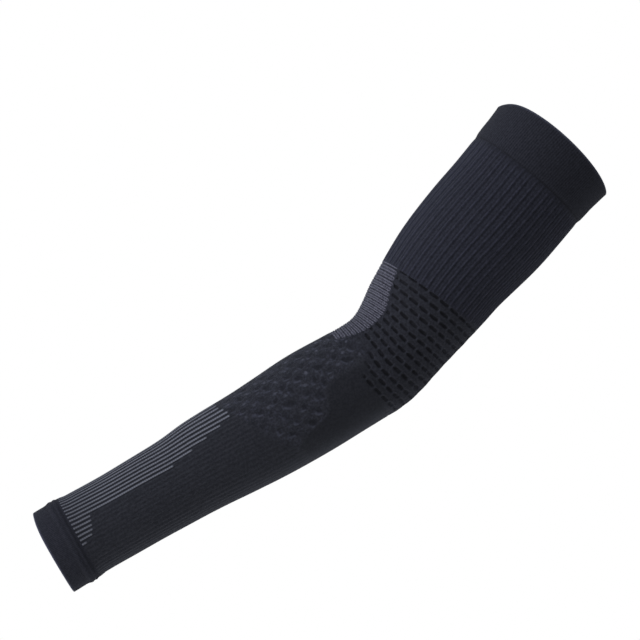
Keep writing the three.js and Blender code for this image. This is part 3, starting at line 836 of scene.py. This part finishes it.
class Finish:
    """One knit material, with short methods that add nodes and return the last one's output."""

    def __init__(self, name, roughness, sheen):
        self.material = bpy.data.materials.new(name)
        self.material.use_nodes = True
        self.tree = self.material.node_tree
        self.shader = self.tree.nodes["Principled BSDF"]
        for key, value in (
            ("Roughness", roughness), ("Specular IOR Level", SPECULAR), ("Sheen Weight", sheen),
            ("Sheen Roughness", SHEEN_ROUGHNESS), ("Sheen Tint", SHEEN_TINT),
        ):
            self.shader.inputs[key].default_value = value

    def math(self, operation, *values):
        """One step of arithmetic."""
        return node(self.tree, "Math", dict(enumerate(values)), operation=operation)[0]

    def times(self, first, *others):
        """The product of some values."""
        for other in others:
            first = self.math("MULTIPLY", first, other)
        return first

    def scaled(self, value, scale, offset):
        """The value times the scale, plus the offset."""
        return self.math("MULTIPLY_ADD", value, scale, offset)

    def inverse(self, value):
        """1 less the value."""
        return self.math("SUBTRACT", 1.0, value)

    def off_half(self, value):
        """How far a value is from the half that lies between two whole numbers."""
        return self.math("ABSOLUTE", self.math("SUBTRACT", self.math("FRACT", value), 0.5))

    def smooth(self, value, low, high):
        """0 at low and beyond, 1 at high and beyond, and a smooth change between them."""
        inputs = {"Value": value, "From Min": low, "From Max": high}
        return node(self.tree, "MapRange", inputs, interpolation_type="SMOOTHSTEP")["Result"]

    def wave(self, value, period):
        """A wave between 0 and 1, which is 1 where value is a whole number of periods."""
        return self.scaled(self.math("COSINE", self.times(value, 2 * math.pi / period)), 0.5, 0.5)

    def attribute(self, name):
        """A number that is stored on the mesh."""
        return node(self.tree, "Attribute", attribute_name=name)["Fac"]

    def cloth(self):
        """The place on the cloth in millimetres: round the arm, and along it."""
        place = node(self.tree, "UVMap", uv_map="Cloth")["UV"]
        parts = node(self.tree, "SeparateXYZ", {"Vector": place})
        return parts["X"], parts["Y"]

    def noise(self, size, detail):
        """Soft random values on the object, with spots of about that size in metres."""
        place = node(self.tree, "TexCoord")["Object"]
        inputs = {"Vector": place, "Scale": 1 / size, "Detail": detail}
        return node(self.tree, "TexNoise", inputs)["Fac"]

    def uneven(self, size, scale, offset):
        """Spots of about that size, whose values lie between offset and offset plus scale."""
        return self.scaled(self.smooth(self.noise(size, 1.0), 0.35, 0.65), scale, offset)

    def mix(self, amount, first, second):
        """A colour between two colours."""
        return node(self.tree, "Mix", {0: amount, 6: first, 7: second}, data_type="RGBA")[2]

    def painted(self, base, *coats):
        """The base colour with coats laid over it in turn. A coat is a colour and the amounts whose
        product says how much of it shows."""
        for shade, *amounts in coats:
            base = self.mix(self.times(*amounts), base, colour(*shade))
        return base

    def stitches(self):
        """The height of the stitches, columns of Vs: each row's wave is shifted by the distance from the
        column's middle, and grooves part the columns."""
        across, along = self.cloth()
        off = self.off_half(self.math("DIVIDE", across, STITCH_WIDTH))
        row = self.scaled(off, STITCH_SLANT, self.math("DIVIDE", along, STITCH_HEIGHT))
        return self.times(self.wave(row, 1.0), self.inverse(self.smooth(off, 0.34, 0.5)))

    def yarn(self, dark, light, fine=0.0):
        """The base colour of knit: two near shades of yarn, mixed by spots and by the stitches. fine
        is how much of the mix follows narrow columns of stitches instead of spots."""
        spots = self.smooth(self.noise(YARN_SPOT, 1.0), 0.34, 0.66)
        columns = self.times(self.wave(self.cloth()[0], COLUMN_WIDTH), fine)
        mixed = self.scaled(self.stitches(), 0.3, self.scaled(spots, 0.85 - fine, columns))
        return self.mix(mixed, colour(*dark), colour(*light))

    def finish(self, base):
        """The material, with its base colour and the stitches' small bumps joined to the shader."""
        self.tree.links.new(base, self.shader.inputs["Base Color"])
        inputs = {"Height": self.stitches(), "Distance": BUMP_HEIGHT, "Strength": 1.0}
        normal = node(self.tree, "Bump", inputs)["Normal"]
        self.tree.links.new(normal, self.shader.inputs["Normal"])
        print(f"{self.material.name}: {len(self.tree.nodes)} nodes")
        return self.material


# %% [markdown]
# ## The finishes
#
# The cuffs are plain, with painted shade in the creases at the seam and, on the upper cuff, on the side away
# from the crook, and a painted highlight along the fold.

# %% Plain cuffs
CUFF_YARN = (18, 19, 25), (42, 43, 50)
# The first is painted shade in creases and grooves, and also the plain zone's own darker tone; the second is
# a painted highlight along the fold
PAINTED_SHADE_AND_PLAIN_DARK, FOLD_PAINTED_HIGHLIGHT = (17, 18, 22), (80, 83, 99)


def cuff_finish():
    """Smooth double knit, with painted shade where it is caught down and on its back, and a painted highlight
    along its fold.
    """
    f = Finish("plain_cuff_knit", 0.9, 0.05)
    # Painted shade in the creases and on the back, and a painted highlight along the fold
    crease, fold = (PAINTED_SHADE_AND_PLAIN_DARK, f.attribute("crease"), 0.6), (FOLD_PAINTED_HIGHLIGHT, f.attribute("fold"), 0.7)
    return f.finish(f.painted(f.yarn(*CUFF_YARN, 0.5), crease, fold))


cuff_material = cuff_finish()

# %% [markdown]
# The forearm adds stripes: a stripe's brightness is a band round each whole rib number, cut into beads
# along the arm, and it stops where the stripe does. Honeycomb and slots are the same on both pieces that
# they cross, so one helper paints them: painted shade in the dents, painted highlights on the rims, on
# top of the swellings and on the bars between slots, and the slots near black, painted shade for the
# dark inside of the sleeve that shows through them.

# %% Forearm with stripes and honeycomb
FOREARM_YARN, BACK_PAINTED_LIGHT = ((27, 28, 33), (40, 41, 46)), (38, 39, 43)
STRIPE_GREY, STRIPE_BEAD = (103, 105, 112), 1.65
CELL_DARK, CELL_LIGHT = (27, 28, 34), (44, 45, 54)
DENT_PAINTED_SHADE, RIM_PAINTED_HIGHLIGHT, SPOT_PAINTED_HIGHLIGHT = (15, 16, 20), (72, 74, 86), (92, 94, 106)
JOINT_PAINTED_HIGHLIGHT, SLOT_PAINTED_SHADE = (56, 58, 67), (8, 8, 11)


def latticed(f, base):
    """The base colour with the honeycomb's random tone, painted shade in its dents and slots, and painted
    highlights on its rims, swellings and the bars between the slots.
    """
    names = ("quilted", "spot", "dent", "rim", "slot", "joint")
    quilted, spot, dent, rim, slot, joint = (f.attribute(name) for name in names)
    uneven = f.smooth(f.noise(0.006, 2.0), 0.38, 0.6)
    fine = f.noise(0.0016, 2.0)
    bright = f.scaled(f.smooth(f.noise(0.005, 1.0), 0.42, 0.62), 0.35, 0.2)
    torn = f.smooth(f.math("ADD", slot, f.scaled(fine, 0.9, -0.45)), 0.2, 0.8)
    return f.painted(
        base,
        (CELL_DARK, quilted, f.smooth(fine, 0.5, 0.7)),
        (CELL_LIGHT, quilted, f.smooth(fine, 0.48, 0.3)),
        # Painted shade in the honeycomb's dents
        (DENT_PAINTED_SHADE, dent, f.scaled(uneven, 0.4, 0.18)),
        # A painted highlight on the rim beside each dent, on the side towards the top and the crook
        (RIM_PAINTED_HIGHLIGHT, rim, f.scaled(uneven, 0.35, 0.1)),
        # A painted highlight on top of each swelling
        (SPOT_PAINTED_HIGHLIGHT, spot, bright),
        # A painted highlight on the raised bars between slots
        (JOINT_PAINTED_HIGHLIGHT, joint, 0.2),
        # Painted shade: the slots near black, for the dark inside of the sleeve
        (SLOT_PAINTED_SHADE, torn, f.smooth(slot, 0.02, 0.15), f.scaled(uneven, 0.25, 0.65)),
    )


def forearm_finish():
    """Dark ribs with painted shade in their grooves and painted light on the back ribs, grey beaded stripes
    on the crests of the inner side, and the honeycomb.
    """
    f = Finish("striped_rib_knit", 0.88, 0.1)
    along = f.cloth()[1]
    rib, left = f.attribute("rib"), f.attribute("stripe_left")
    crest = f.wave(rib, 1.0)
    to_back = f.scaled(f.smooth(rib, 17.0, 26.0), -0.85, 1.0)
    plain_depth = f.scaled(f.smooth(along, 60.0, 140.0), 0.12, 0.16)
    depth = f.scaled(f.smooth(left, -4.0, 1.0), 0.36, plain_depth)
    beads = f.scaled(f.wave(along, STRIPE_BEAD), 0.4, 0.6)
    from_wrist = f.scaled(f.smooth(along, 24.0, 60.0), 0.25, 0.75)
    return f.finish(latticed(f, f.painted(
        f.yarn(*FOREARM_YARN),
        # Painted light: the ribs at the back a shade lighter
        (BACK_PAINTED_LIGHT, f.smooth(rib, 21.0, 26.0)),
        # Painted shade in the grooves between the ribs, weaker towards the back
        (PAINTED_SHADE_AND_PLAIN_DARK, f.inverse(crest), f.attribute("ribbed"), to_back, depth, f.uneven(0.0028, 0.7, 0.55)),
        (STRIPE_GREY, f.smooth(crest, 0.45, 0.85), beads, from_wrist, f.smooth(left, -0.6, 0.6)),
        # The plain zone's own darker tone, in the same colour as the painted shade
        (PAINTED_SHADE_AND_PLAIN_DARK, f.attribute("plain"), 0.45),
    )))


forearm_material = forearm_finish()

# %% [markdown]
# The elbow band has the same lattice on slightly darker yarn.

# %% Open mesh
MESH_YARN = (26, 27, 32), (38, 39, 45)


def mesh_finish():
    """Dark knit with the same lattice."""
    f = Finish("open_mesh_knit", 0.88, 0.05)
    return f.finish(latticed(f, f.yarn(*MESH_YARN)))


mesh_material = mesh_finish()

# %% [markdown]
# The panel is grey. Its valleys get painted shade, the deep ones as dark lines, the shallow ones as a row
# of small dark holes, with more painted shade in the gaps between beads; past the stepped edge it has the
# band's dark yarn.

# %% Flex panel
PANEL_YARN, PANEL_EDGE_SHADE = ((68, 68, 77), (101, 101, 112)), (30, 31, 37)
VALLEY_PAINTED_SHADE, BEAD_GAP_PAINTED_SHADE, HOLE_PAINTED_SHADE = (18, 19, 25), (30, 31, 38), (20, 21, 27)


def panel_finish():
    """Mid grey cross ridges with painted shade in the valleys, in the gaps between the beads and in small
    holes between them.
    """
    f = Finish("cross_ridge_knit", 0.85, 0.1)
    ridge, turned, grey = (f.attribute(name) for name in ("ridge", "turned", "grey"))
    valley = f.inverse(f.wave(ridge, 1.0))
    deep = f.wave(f.math("SUBTRACT", ridge, 0.5), 2.0)
    odd = f.math("FLOORED_MODULO", f.math("FLOOR", ridge), 2.0)
    beads = f.wave(f.scaled(odd, BEAD_ANGLE / 2, turned), BEAD_ANGLE)
    hole = f.inverse(f.smooth(beads, 0.05, 0.45))
    ridged = f.painted(
        f.yarn(*PANEL_YARN),
        # Painted shade in the valleys, strongest in the deep ones
        (VALLEY_PAINTED_SHADE, f.smooth(valley, 0.05, 0.6), f.scaled(deep, 0.37, 0.6), f.uneven(0.0022, 0.35, 0.65)),
        # Painted shade in the gaps between the beads
        (BEAD_GAP_PAINTED_SHADE, f.inverse(beads), 0.4),
        # Painted shade as small dark holes between the beads
        (HOLE_PAINTED_SHADE, hole, f.smooth(valley, 0.5, 0.9), 0.75),
    )
    return f.finish(f.mix(grey, colour(*PANEL_EDGE_SHADE), ridged))


panel_material = panel_finish()

# %% [markdown]
# The upper arm's ridges catch the light, and a painted highlight makes each ridge lighter, with painted
# shade in the grooves beside it. The bumps are the same as those of the relief.

# %% Upper arm ribs
UPPER_ARM_YARN, CROOK_PAINTED_LIGHT = ((25, 26, 33), (38, 39, 47)), (39, 41, 51)
RIDGE_PAINTED_HIGHLIGHT, SECOND_RIDGE_PAINTED_HIGHLIGHT = (59, 60, 74), (52, 54, 66)
GROOVE_PAINTED_SHADE, SEAM_PAINTED_SHADE = (16, 17, 22), (20, 21, 26)


def upper_arm_finish():
    """Dark knit with a painted highlight line on each rib, painted shade in the grooves beside it, a fainter
    painted highlight on the second ridge, painted light towards the crook and painted shade beside the cuff.
    """
    f = Finish("wide_rib_knit", 0.88, 0.07)
    rib = f.attribute("rib")

    def bump(place, half_width):
        return f.inverse(f.smooth(f.off_half(f.math("ADD", rib, 0.5 - place)), 0.0, half_width))

    return f.finish(f.painted(
        f.yarn(*UPPER_ARM_YARN),
        # Painted light on the ribs towards the crook
        (CROOK_PAINTED_LIGHT, f.smooth(rib, 6.5, 1.5), 0.45),
        # Painted shade in the grooves
        (GROOVE_PAINTED_SHADE, bump(GROOVE_AT, 0.2), 0.3),
        (GROOVE_PAINTED_SHADE, bump(SHALLOW_GROOVE_AT, 0.14), 0.25),
        # Painted highlights on the second ridge and on the crest of each rib
        (SECOND_RIDGE_PAINTED_HIGHLIGHT, bump(SECOND_RIDGE_AT, 0.16), 0.15),
        (RIDGE_PAINTED_HIGHLIGHT, bump(0.0, 0.22), f.uneven(0.0024, 0.24, 0.13)),
        # Painted shade in the dip beside the cuff
        (SEAM_PAINTED_SHADE, f.attribute("seam"), 0.4),
    ))


upper_arm_material = upper_arm_finish()

# %% [markdown]
# ## Put the pieces in their places
#
# Each piece stands for one CAD node, which it hides, and rides on the part's one body. A knit tube is
# narrower before it is put on; here only its mean girth on the arm is worked out.

# %% Ride and replace
TOP_DRAWN_IN = 3.0


def girth_at(along):
    """The length round the oval, by Ramanujan's formula."""
    a, b = width_at(along) / 2, depth_at(along) / 2
    return np.pi * (3 * (a + b) - np.sqrt((3 * a + b) * (a + 3 * b)))


def place(piece, node, slot, material, start, end, share=1.0):
    """Gives a piece its material, puts it on the root body, hides its CAD node, and works out its cloth's
    mean girth on the arm.
    """
    piece.data.materials.append(material)
    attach(piece, "root")
    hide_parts(node)
    girth = float(girth_at(np.linspace(start, end, 50)).mean()) * share


panel_part = float(2 * panel_share(np.linspace(0, 1, 50)).mean())
place(wrist_cuff, "wrist_cuff", "cuff_knit", cuff_material, 0, WRIST_CUFF_LENGTH)
place(forearm, "forearm_sleeve", "forearm_knit", forearm_material, WRIST_CUFF_LENGTH, MESH_START)
place(band, "elbow_sleeve", "elbow_mesh_knit", mesh_material, MESH_START, MESH_END, 1 - panel_part)
place(panel, "crook_insert", "flex_panel_knit", panel_material, PANEL_START, MESH_END, panel_part)
place(upper_arm, "upper_arm_sleeve", "rib_knit", upper_arm_material, MESH_END, UPPER_CUFF_START)
place(upper_cuff, "upper_cuff", "cuff_knit", cuff_material, UPPER_CUFF_START, WHOLE_LENGTH - TOP_DRAWN_IN)

# %% [markdown]
# ## Camera
#
# The photo was taken from far away, with the sleeve running up to the right. The camera looks along +Y,
# a little from the wrist's side, and is rolled by 30 degrees.

# %% Set the camera
CAMERA_AZIMUTH, CAMERA_ROLL = math.radians(-3.5), math.radians(30.0723)
CAMERA_DISTANCE, CAMERA_LENS = 2.4, 190.4
LOOK_AT = Vector((-0.0281768, 0.0, 0.0438369))
back = Vector((math.sin(CAMERA_AZIMUTH), -math.cos(CAMERA_AZIMUTH), 0.0))
level_right = Vector((0, 0, 1)).cross(back).normalized()
level_up = back.cross(level_right)
right = level_right * math.cos(CAMERA_ROLL) - level_up * math.sin(CAMERA_ROLL)
up = level_right * math.sin(CAMERA_ROLL) + level_up * math.cos(CAMERA_ROLL)
camera_data = bpy.data.cameras.new("photo_camera")
camera_data.sensor_width = 36.0
camera_data.lens = CAMERA_LENS
camera_data.clip_end = 20.0
camera = bpy.data.objects.new("photo_camera", camera_data)
bpy.context.scene.collection.objects.link(camera)
turned = Matrix((right, up, back)).transposed().to_4x4()
camera.matrix_world = Matrix.Translation(LOOK_AT + back * CAMERA_DISTANCE) @ turned
bpy.context.scene.camera = camera
print("camera at", tuple(round(v, 3) for v in camera.matrix_world.translation))

# %% [markdown]
# ## Floor and light
#
# A studio shot like this has a white sweep and large soft lights. To the camera the background and the
# floor, which lies well below, are plain white. The light that they give is weak, so that the dark knit
# keeps its shades, and uneven: bright from the picture's left and dim from its right. The key light
# comes from the crook's side, upper left in the picture, so that every rib shows.

# %% Set the floor and the lights
FLOOR_LEVEL, FLOOR_HALF = -0.45, 1.2
FLOOR_GREY, WHITE = (0.8, 0.8, 0.8, 1.0), (1.0, 1.0, 1.0, 1.0)
DOME_LIGHT, DOME_SLOPE = 0.28, 0.26
LIGHT_SIZE, LIT_POINT = 0.9, Vector((0, 0, 0.02))


def seen_by_camera(tree):
    """1 where a ray comes straight from the camera, and 0 for all other light."""
    return node(tree, "LightPath")["Is Camera Ray"]


def white_to_camera(name, pale):
    """A material that is plain white to the camera and a matt pale one to all other light."""
    material = bpy.data.materials.new(name)
    material.use_nodes = True
    tree = material.node_tree
    matt = tree.nodes["Principled BSDF"]
    matt.inputs["Base Color"].default_value = pale
    matt.inputs["Roughness"].default_value = 0.9
    inputs = {0: seen_by_camera(tree), 1: matt.outputs[0], 2: node(tree, "Emission")[0]}
    either = node(tree, "MixShader", inputs)[0]
    tree.links.new(either, tree.nodes["Material Output"].inputs["Surface"])
    return material


floor_mesh = bpy.data.meshes.new("studio_floor")
ends = np.array([(-1, -1), (1, -1), (1, 1), (-1, 1)]) * FLOOR_HALF
floor_mesh.from_pydata([(x, y, FLOOR_LEVEL) for x, y in ends.tolist()], [], [(0, 1, 2, 3)])
floor = bpy.data.objects.new("studio_floor", floor_mesh)
bpy.context.scene.collection.objects.link(floor)
floor_mesh.materials.append(white_to_camera("pale_floor", FLOOR_GREY))

world = bpy.data.worlds.new("studio_white")
bpy.context.scene.world = world
world.use_nodes = True
dome = world.node_tree
direction = node(dome, "TexCoord")["Generated"]
leftness = node(dome, "VectorMath", {0: direction, 1: -right}, operation="DOT_PRODUCT")["Value"]
dimmest, brightest = DOME_LIGHT - DOME_SLOPE, DOME_LIGHT + DOME_SLOPE
ends = {"Value": leftness, "From Min": -1.0, "To Min": dimmest, "To Max": brightest}
slope = node(dome, "MapRange", ends)["Result"]
strength = node(dome, "MapRange", {"Value": seen_by_camera(dome), "To Min": slope, "To Max": 1.0})["Result"]
dome.links.new(strength, dome.nodes["Background"].inputs["Strength"])
dome.nodes["Background"].inputs["Color"].default_value = WHITE


def soft_light(name, place, power, tint):
    """A large square light that faces the elbow."""
    data = bpy.data.lights.new(name, "AREA")
    data.size = LIGHT_SIZE
    data.energy = power
    data.color = tint
    light = bpy.data.objects.new(name, data)
    bpy.context.scene.collection.objects.link(light)
    light.location = place
    light.rotation_euler = (Vector(place) - LIT_POINT).to_track_quat("Z", "Y").to_euler()
    light.visible_camera = False


soft_light("key_light", (-0.6, -0.75, 1.3), 24.0, (0.83, 0.86, 1.0))
soft_light("side_light", (-1.3, -1.1, -0.1), 10.5, WHITE[:3])
bpy.context.scene.view_settings.view_transform = "Standard"
